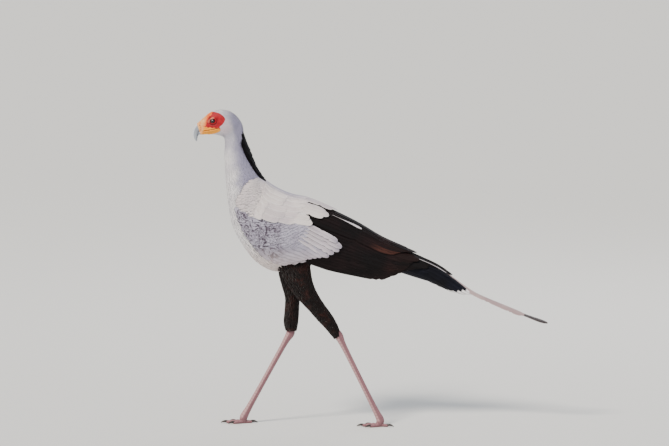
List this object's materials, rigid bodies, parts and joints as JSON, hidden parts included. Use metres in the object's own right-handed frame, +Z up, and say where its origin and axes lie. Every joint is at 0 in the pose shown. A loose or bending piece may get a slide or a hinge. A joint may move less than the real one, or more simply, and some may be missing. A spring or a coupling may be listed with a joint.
{
  "type": "secretary bird",
  "caption": "Life-size still model of a secretary bird striding on long bare legs, with folded wings, a loose nape crest and long tail streamers.",
  "frame": {"origin": "on the floor under the middle of the bird's length and width", "axes": "+X the way the bird faces, from tail tips to bill, +Y the bird's left side, +Z up"},
  "size_m": [1.2097, 0.2225, 1.0793],
  "materials": {
    "plumage_white": "matt, finely barbed white and pale grey body plumage",
    "plumage_grey": "matt pale grey covert feathers with warm tints",
    "plumage_black": "black flight, tail and thigh feathers with a faint sheen",
    "streamer_grey": "pale pinkish grey long central tail feathers",
    "face_skin": "bare orange to crimson facial skin with fine creases",
    "cere_skin": "waxy yellow-orange skin at the root of the bill",
    "horn": "smooth blue-grey horn of the bill",
    "eye": "wet glossy dark eye",
    "leg_skin": "pinkish flesh leg skin with plates and scales",
    "claw_horn": "dark satin horn of the claws"
  },
  "bodies": {
    "root": {"head": "face_skin", "neck": "plumage_white", "torso": "plumage_white", "crest": "plumage_black", "cere": "cere_skin", "bill_upper": "horn", "bill_lower": "horn", "tail": "plumage_black", "tail_streamers": "streamer_grey", "eye_left": "eye", "wing_left": "plumage_grey", "flight_left": "plumage_black", "thigh_left": "plumage_black", "tarsus_left": "leg_skin", "foot_left": "leg_skin", "claw_left_inner": "claw_horn", "claw_left_middle": "claw_horn", "claw_left_outer": "claw_horn", "claw_left_hind": "claw_horn", "eye_right": "eye", "wing_right": "plumage_grey", "flight_right": "plumage_black", "thigh_right": "plumage_black", "tarsus_right": "leg_skin", "foot_right": "leg_skin", "claw_right_inner": "claw_horn", "claw_right_middle": "claw_horn", "claw_right_outer": "claw_horn", "claw_right_hind": "claw_horn"}
  },
  "joints": []
}
